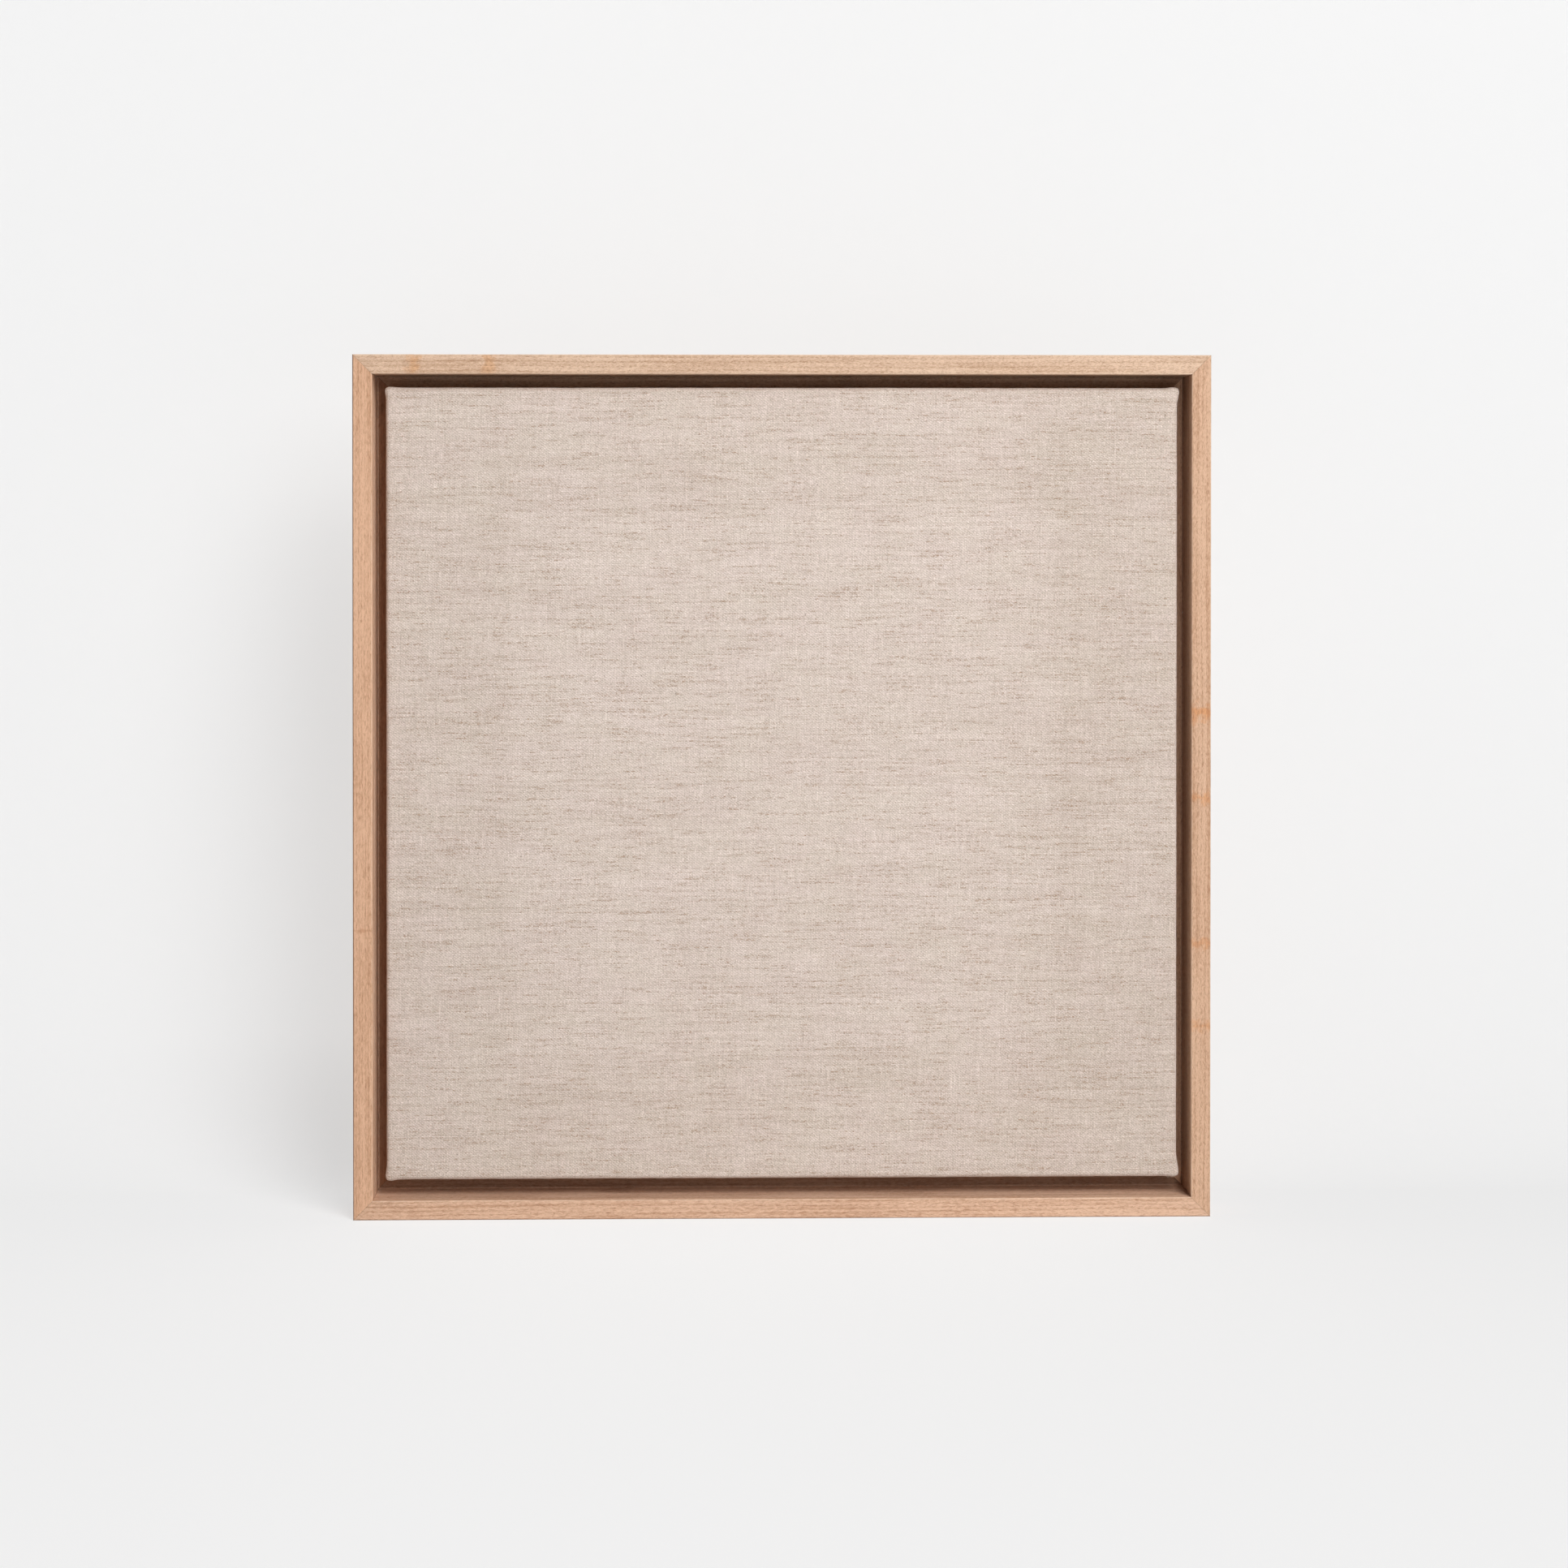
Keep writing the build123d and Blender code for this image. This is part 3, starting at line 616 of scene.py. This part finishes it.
class WrappedCloth:
    """A lattice over a flat box: the front, the four sides and the flaps on the back."""

    def __init__(self, low, high):
        """Places the lattice lines between the box's low and high corners."""
        self.half = (high.x - low.x) / 2
        self.centre = Vector(((low.x + high.x) / 2, low.y, (low.z + high.z) / 2))
        self.depth = high.y - low.y
        ends = [mm * MM for mm in EDGE_LINES_MM]
        steps = round((FLAP_WIDTH - ends[-1]) / LATTICE_STEP)
        ends += [ends[-1] + (FLAP_WIDTH - ends[-1]) * (n + 1) / steps for n in range(steps)]
        inner = self.half - FLAP_WIDTH
        count = round(2 * inner / LATTICE_STEP)
        middle = [-inner + 2 * inner * (n + 1) / count for n in range(count - 1)]
        self.lines = [e - self.half for e in ends] + middle + [self.half - e for e in reversed(ends)]
        self.flap_lines = len(ends) - 1
        share = self.depth / (DEPTH_LINES_MM[-1] * MM)
        self.depths = [mm * MM * share for mm in DEPTH_LINES_MM]

    def rounded(self, x, y, z):
        """The box's point moved on to the rounded box."""
        turn = ease(y, 0.25 * self.depth, 0.75 * self.depth)
        radius = FRONT_EDGE_RADIUS + turn * (BACK_EDGE_RADIUS - FRONT_EDGE_RADIUS)
        reach = self.half - radius
        inner = Vector((
            max(-reach, min(reach, x)),
            max(radius, min(self.depth - radius, y)),
            max(-reach, min(reach, z)),
        ))
        return inner + radius * (Vector((x, y, z)) - inner).normalized()

    def shaped(self, x, y, z):
        """The point with the folds, the pull of the staples and the cloth's own unevenness."""
        p = self.rounded(x, y, z)
        to_side, to_end = self.half - abs(x), self.half - abs(z)
        side, end = (1 if x > 0 else -1), (1 if z > 0 else -1)
        out, run, lift = (mm * MM for mm in EARS_MM[(side, end)])
        on_side = ease(to_side, 3.0 * MM, 0.0)
        on_end = ease(to_end, 3.0 * MM, 0.0)
        at_corner = 1 - ease(to_end, 0.25 * run, 2.2 * run)
        ripple = wave(1, y, z, 9 * MM, 0.10 * MM) + wave(2, y, z, 60 * MM, 0.12 * MM)
        p.x += side * on_side * (out * at_corner + ripple)
        at_corner = 1 - ease(to_side, 1.2 * MM, 7.0 * MM)
        ripple = wave(x, y, 3, 9 * MM, 0.10 * MM) + wave(x, y, 4, 60 * MM, 0.12 * MM)
        p.z += end * on_end * (lift * at_corner + ripple)
        # The front sinks a little between the bars and is never quite flat
        if y < 0.5 * self.depth:
            inside = ease(min(to_side, to_end), 2 * MM, 45 * MM)
            p.y += inside * (0.25 * MM + wave(x, 5, z, 30 * MM, 0.10 * MM))
        # The cut edge of the flaps is uneven and lifts off the wood between the staples
        elif y > 0.98 * self.depth:
            near = min(to_side, to_end)
            loose = ease(near, 22.5 * MM, FLAP_WIDTH)
            p.y += loose * (0.35 * MM + 0.5 * wave(x, 6, z, 14 * MM, 1.0 * MM))
            trim = loose * wave(x, 7, z, 18 * MM, 0.9 * MM)
            if to_side < to_end:
                p.x += side * trim
            else:
                p.z += end * trim
        return p + self.centre

    def flat(self, x, y, z, face):
        """The point's place on the cloth laid flat, for a face: which side it is on, or the front."""
        side, on_back = face
        wrap = self.half + self.depth if on_back else self.half
        if side == "front":
            return x, z
        if side in ("left", "right"):
            far = wrap + (self.half - abs(x) if on_back else y)
            return (far if side == "right" else -far), z
        far = wrap + (self.half - abs(z) if on_back else y)
        return x, (far if side == "top" else -far)

    def build(self, name):
        """The sheet without its folded corners, as an object."""
        mesh = bmesh.new()
        uv = mesh.loops.layers.uv.new("cloth")
        last, back = len(self.lines) - 1, len(self.depths) - 1
        made = {}

        def corner(i, k, j):
            """The vertex on these lattice lines."""
            if (i, k, j) not in made:
                made[i, k, j] = mesh.verts.new(self.shaped(self.lines[i], self.depths[k], self.lines[j]))
            return made[i, k, j]

        def cell(keys, face):
            """One face of the lattice, with its place on the flat cloth."""
            new = mesh.faces.new([corner(*key) for key in keys])
            new.smooth = True
            for loop, (i, k, j) in zip(new.loops, keys):
                loop[uv].uv = self.flat(self.lines[i], self.depths[k], self.lines[j], face)

        for a in range(last):
            for b in range(last):
                cell([(a, 0, b), (a + 1, 0, b), (a + 1, 0, b + 1), (a, 0, b + 1)], ("front", False))
                to_side, to_end = min(a, last - 1 - a), min(b, last - 1 - b)
                if min(to_side, to_end) >= self.flap_lines:
                    continue
                if to_side <= to_end:
                    side = "left" if a < last / 2 else "right"
                else:
                    side = "bottom" if b < last / 2 else "top"
                cell([(a, back, b), (a, back, b + 1), (a + 1, back, b + 1), (a + 1, back, b)], (side, True))
            for k in range(back):
                n, m = a + 1, k + 1
                cell([(a, k, 0), (a, m, 0), (n, m, 0), (n, k, 0)], ("bottom", False))
                cell([(a, k, last), (n, k, last), (n, m, last), (a, m, last)], ("top", False))
                cell([(0, k, a), (0, k, n), (0, m, n), (0, m, a)], ("left", False))
                cell([(last, k, a), (last, m, a), (last, m, n), (last, k, n)], ("right", False))
        return as_object(mesh, name)

    def fold(self, mesh, uv, side, end):
        """One folded corner on the back: the side's flap turned under along the diagonal."""
        back = self.centre.y + self.depth
        grid = []
        for row in range(FOLD_ROWS + 1):
            share = FOLD_START_SHARE + (1 - FOLD_START_SHARE) * row / FOLD_ROWS
            line = []
            for column in range(FOLD_COLUMNS + 1):
                t = (column / FOLD_COLUMNS) ** 1.8
                from_side = FLAP_WIDTH * share
                from_end = from_side + FOLD_REACH * t
                bulge = math.sin(min(1.0, 26 * t) * math.pi / 2)
                tuck = 1 - ease(t, 0.45, 1.0)
                height = -0.35 * MM + bulge * (0.40 + 0.75 * tuck) * MM
                height += tuck * wave(from_side, side * 3, from_end, 6 * MM, 0.12 * MM)
                height += 0.25 * MM * ease(share, 0.80, 1.0) * bulge
                if share < LEDGE_COVER / FLAP_WIDTH:
                    height = -0.10 * MM
                x, z = side * (self.half - from_side), end * (self.half - from_end)
                x += side * ease(share, 0.93, 1.0) * wave(x, 8, z, 10 * MM, 0.5 * MM)
                point = self.centre + Vector((x, 0, z))
                point.y = back + height
                line.append((mesh.verts.new(point), (side * (self.half + self.depth + from_side), z)))
            grid.append(line)
        for near, far in zip(grid, grid[1:]):
            for column in range(FOLD_COLUMNS):
                four = [near[column], far[column], far[column + 1], near[column + 1]]
                if side * end < 0:
                    four.reverse()
                face = mesh.faces.new([v for v, _ in four])
                face.smooth = True
                for loop, (_, place) in zip(face.loops, four):
                    loop[uv].uv = place


def as_object(mesh, name):
    """A new object in the scene from the bmesh."""
    data = bpy.data.meshes.new(name)
    mesh.to_mesh(data)
    mesh.free()
    thing = bpy.data.objects.new(name, data)
    bpy.context.scene.collection.objects.link(thing)
    return thing


def build_linen():
    """The wrapped sheet, with its folded corners."""
    low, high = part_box("linen_canvas")
    cloth = WrappedCloth(low, high)
    piece = cloth.build("linen_sheet")
    mesh = bmesh.new()
    mesh.from_mesh(piece.data)
    uv = mesh.loops.layers.uv["cloth"]
    for side in (-1, 1):
        for end in (-1, 1):
            cloth.fold(mesh, uv, side, end)
    mesh.to_mesh(piece.data)
    mesh.free()
    thick = piece.modifiers.new("thickness", "SOLIDIFY")
    thick.thickness = LINEN_THICKNESS
    thick.offset = -1.0
    return piece, cloth


def thread(mesh, points, radius, sides=3):
    """A fine closed tube through the points, tapering to its tip."""
    rings = []
    for n, point in enumerate(points):
        ahead = (points[min(n + 1, len(points) - 1)] - points[max(n - 1, 0)]).normalized()
        across = ahead.cross(Vector((0.31, 0.87, 0.38))).normalized()
        up = ahead.cross(across)
        thin = radius * (1.0 - 0.55 * n / (len(points) - 1))
        ring = []
        for s in range(sides):
            angle = 2 * math.pi * s / sides
            ring.append(mesh.verts.new(point + thin * (math.cos(angle) * across + math.sin(angle) * up)))
        rings.append(ring)
    for first, second in zip(rings, rings[1:]):
        for s in range(sides):
            face = mesh.faces.new([first[s], first[(s + 1) % sides], second[(s + 1) % sides], second[s]])
            face.smooth = True
    mesh.faces.new(list(reversed(rings[0])))
    mesh.faces.new(rings[-1])


def loose_fibres(cloth):
    """Frayed ends along the flaps' cut edges, and a few fibres at the front's lower right corner."""
    mesh = bmesh.new()
    back = cloth.centre.y + cloth.depth
    inner = cloth.half - FLAP_WIDTH
    for side in SIDES:
        place = -inner
        while place < inner:
            place += random.uniform(*FRAY_GAP_MM) * MM
            length = random.uniform(*FRAY_LENGTH_MM) * MM
            if random.random() < LONG_FRAY_CHANCE:
                length *= LONG_FRAY_FACTOR
            drift = random.uniform(-0.45, 0.45)
            rise = random.uniform(-0.15, 0.5)
            points = []
            for n in range(4):
                far = -FRAY_ROOT + (length + FRAY_ROOT) * n / 3
                bend = drift * length * (n / 3) ** 2
                along, inward = place + bend, inner - far
                y = back - 0.10 * MM + rise * length * (n / 3) ** 2
                if side in ("left", "right"):
                    x, z = (inward if side == "right" else -inward), along
                else:
                    x, z = along, (inward if side == "top" else -inward)
                points.append(Vector((x + cloth.centre.x, y, z + cloth.centre.z)))
            thread(mesh, points, random.uniform(*FRAY_RADIUS_MM) * MM)
    corner = cloth.centre + Vector((cloth.half - 3.2 * MM, 2.0 * MM, -cloth.half + 0.3 * MM))
    for _ in range(CORNER_FIBRES):
        start = corner + Vector((random.uniform(-2.6, 2.0) * MM, random.uniform(0, 2.0) * MM, 0))
        lean = random.uniform(-0.9, 0.9)
        length = random.uniform(*CORNER_FIBRE_LENGTH_MM) * MM
        points = []
        for n in range(6):
            t = n / 5
            bend = Vector((lean * t * t, -0.2 * t, -t * (1 - 0.35 * t)))
            points.append(start + length * bend)
        thread(mesh, points, CORNER_FIBRE_RADIUS)
    return as_object(mesh, "linen_loose_fibres")


def fibre_material():
    """Single linen fibres, from pale to brown."""
    g = Nodes("linen_fibre")
    tone = g.noise(g.times(g.place_mm(), (0.7, 0.7, 0.7)), detail=3, roughness=0.7)
    colour = g.blend(g.between(tone, 0.3, 0.7), (0.46, 0.35, 0.26), (0.74, 0.63, 0.52))
    fuzz = g.noise(g.times(g.place_mm(), (8.0, 8.0, 8.0)), detail=2)
    return g.finish(colour, 0.9, fuzz, 0.03, Sheen_Weight=0.3)


def dress_linen():
    """Builds the linen, gives it its material, puts it in the object's body and hides the CAD linen it
    takes the place of.
    """
    piece, cloth = build_linen()
    piece.data.materials.append(linen("linen_weave"))
    fibres = loose_fibres(cloth)
    fibres.data.materials.append(fibre_material())
    for thing in (piece, fibres):
        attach(thing, ROOT)
    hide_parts("linen_canvas")


# ---------------------------------------------------------------- studio


def bounce_material():
    """The white floor that lights the object from below. The camera sees the paper instead."""
    g = Nodes("studio_floor")
    return g.finish((0.90, 0.90, 0.90), 0.95, Specular_IOR_Level=0.0)


def paper_material():
    """Backlit paper that shows soft shadows, and fades into the backdrop. It is clear from behind."""
    g = Nodes("studio_paper")
    g.shader.inputs["Base Color"].default_value = (PAPER_WHITE, PAPER_WHITE, PAPER_WHITE, 1.0)
    g.shader.inputs["Roughness"].default_value = 0.95
    g.shader.inputs["Specular IOR Level"].default_value = 0.0
    g.shader.inputs["Emission Color"].default_value = (1.0, 1.0, 1.0, 1.0)
    x, y, z = g.parts(g.place_mm())
    # The bend faces the lamps and catches more of their light, so it glows less
    _, facing_y, facing_z = g.parts(g.add("NewGeometry").outputs["Normal"])
    glow = g.total(
        g.between(z, 0.0, 1000.0 * BEND_RADIUS, FLOOR_GLOW, WALL_GLOW),
        g.between(x, -900.0, 900.0, 0.5 * GLOW_SLOPE, -0.5 * GLOW_SLOPE),
        g.scaled(g.math("MULTIPLY", facing_y, facing_z), BEND_CATCH),
    )
    distance = g.add("VectorMath", g.vector(x, y, 0.0), operation="LENGTH").outputs["Value"]
    near = g.between(distance, 900.0, 3500.0, 1.0, 0.0)
    backdrop = g.scaled(near, -WORLD_SEEN, WORLD_SEEN)
    strength = g.total(g.math("MULTIPLY", glow, near), backdrop)
    g.put(g.shader.inputs["Emission Strength"], strength)
    clear = g.add("BsdfTransparent")
    behind = g.add("NewGeometry").outputs["Backfacing"]
    mixed = g.add("MixShader", behind, g.shader.outputs[0], clear.outputs[0])
    output = next(node for node in g.tree.nodes if node.type == "OUTPUT_MATERIAL")
    g.tree.links.new(mixed.outputs[0], output.inputs["Surface"])
    return g.material


def strip(name, profile, half_width):
    """A sheet that follows the (y, z) profile, from side to side."""
    mesh = bmesh.new()
    rows = [[mesh.verts.new((x, y, z)) for x in (-half_width, half_width)] for y, z in profile]
    for first, second in zip(rows, rows[1:]):
        mesh.faces.new([first[0], first[1], second[1], second[0]]).smooth = True
    sheet = as_object(mesh, name)
    sheet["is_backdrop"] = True
    return sheet


def build_stage():
    """A floor that bounces light, and in front of the camera a paper floor and a paper wall.

    The paper wall bends into the floor at its foot. Only the camera sees the paper.
    """
    low, high = CAD_BOX
    floor = strip("studio_floor", [(-FLOOR_HALF, low.z), (FLOOR_HALF, low.z)], FLOOR_HALF)
    floor.data.materials.append(bounce_material())
    floor.visible_camera = False
    wall = high.y + WALL_GAP
    foot = wall - BEND_RADIUS
    above = low.z + 0.02 * MM
    profile = []
    for n in range(17):
        angle = math.radians(90.0 * n / 16)
        profile.append((foot + BEND_RADIUS * math.sin(angle), above + BEND_RADIUS * (1 - math.cos(angle))))
    profile.append((wall, WALL_HEIGHT))
    paper_floor = strip("studio_paper_floor", [(-FLOOR_HALF, above), (FLOOR_HALF, above)], FLOOR_HALF)
    paper_wall = strip("studio_paper_wall", profile, WALL_HALF_WIDTH)
    paper = paper_material()
    for sheet in (paper_floor, paper_wall):
        sheet.data.materials.append(paper)
        sheet.visible_diffuse = False
        sheet.visible_glossy = False
        sheet.visible_shadow = False


def area_lamp(name, direction, distance, size, watts):
    """A soft round lamp that points at the middle of the object."""
    middle = (CAD_BOX[0] + CAD_BOX[1]) / 2
    data = bpy.data.lights.new(name, "AREA")
    data.shape = "DISK"
    data.size = size
    data.energy = watts
    lamp = bpy.data.objects.new(name, data)
    lamp.location = middle + distance * Vector(direction).normalized()
    lamp.rotation_euler = (-Vector(direction)).to_track_quat("-Z", "Y").to_euler()
    bpy.context.scene.collection.objects.link(lamp)
    return lamp


def build_lights():
    """The key lamps, the lamps for the object's back, and a world that looks pale and lights little."""
    for lamp in KEY_LAMPS:
        area_lamp(*lamp)
    lit = bpy.data.collections.new("lit_from_behind")
    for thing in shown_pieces():
        lit.objects.link(thing)
    for lamp in BACK_LAMPS:
        area_lamp(*lamp).light_linking.receiver_collection = lit
    world = bpy.data.worlds.new("studio")
    world.use_nodes = True
    nodes, links = world.node_tree.nodes, world.node_tree.links
    seen = nodes.new("ShaderNodeLightPath").outputs["Is Camera Ray"]
    level = nodes.new("ShaderNodeMapRange")
    level.inputs["To Min"].default_value = WORLD_LIGHT
    level.inputs["To Max"].default_value = WORLD_SEEN
    links.new(seen, level.inputs["Value"])
    links.new(level.outputs[0], nodes["Background"].inputs["Strength"])
    nodes["Background"].inputs["Color"].default_value = (1.0, 1.0, 1.0, 1.0)
    bpy.context.scene.world = world


def build_camera():
    """A camera that looks a little down at the front."""
    data = bpy.data.cameras.new("camera")
    data.lens = CAMERA_LENS
    data.sensor_width = 36.0
    data.shift_x, data.shift_y = CAMERA_SHIFT
    data.clip_end = 50.0
    camera = bpy.data.objects.new("camera", data)
    camera.location = (CAMERA_ASIDE, CAD_BOX[0].y - CAMERA_DISTANCE, CAMERA_HEIGHT)
    camera.rotation_euler = (math.pi / 2 + CAMERA_TILT, 0.0, CAMERA_TURN)
    bpy.context.scene.collection.objects.link(camera)
    bpy.context.scene.camera = camera


paint_frame()
dress_linen()
build_stage()
build_lights()
build_camera()
bpy.context.scene.view_settings.view_transform = "Standard"
